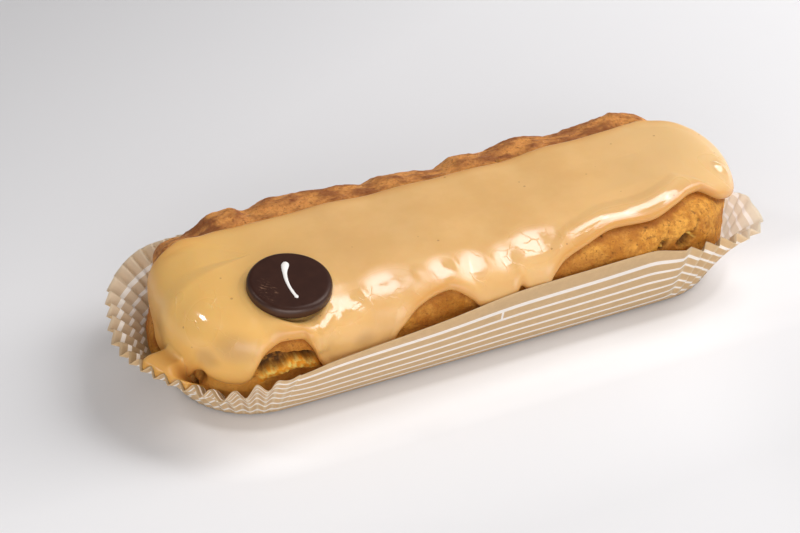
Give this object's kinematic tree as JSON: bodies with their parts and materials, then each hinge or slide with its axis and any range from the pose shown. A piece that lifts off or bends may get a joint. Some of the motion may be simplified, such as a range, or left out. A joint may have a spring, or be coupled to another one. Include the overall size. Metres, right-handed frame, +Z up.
{
  "type": "iced eclair in a paper case",
  "caption": "Oblong choux pastry under poured coffee icing with a flat round chocolate on top, lying in a pleated striped paper case.",
  "frame": {"origin": "middle of the underside of the paper case, on the surface it stands on", "axes": "+X along the eclair towards the end without the chocolate, +Y towards the side with the bare ridge of crust, +Z up"},
  "size_m": [0.1632, 0.0626, 0.0355],
  "materials": {
    "paper_case": "matte paper, tan with white stripes along the wall",
    "choux": "matte baked crust, golden to brown",
    "icing": "glossy poured icing, milky coffee",
    "chocolate_disc": "satin dark chocolate with a piped white stroke"
  },
  "bodies": {
    "root": {"paper_case": "paper_case", "choux": "choux", "icing": "icing", "chocolate_disc": "chocolate_disc"}
  },
  "joints": []
}
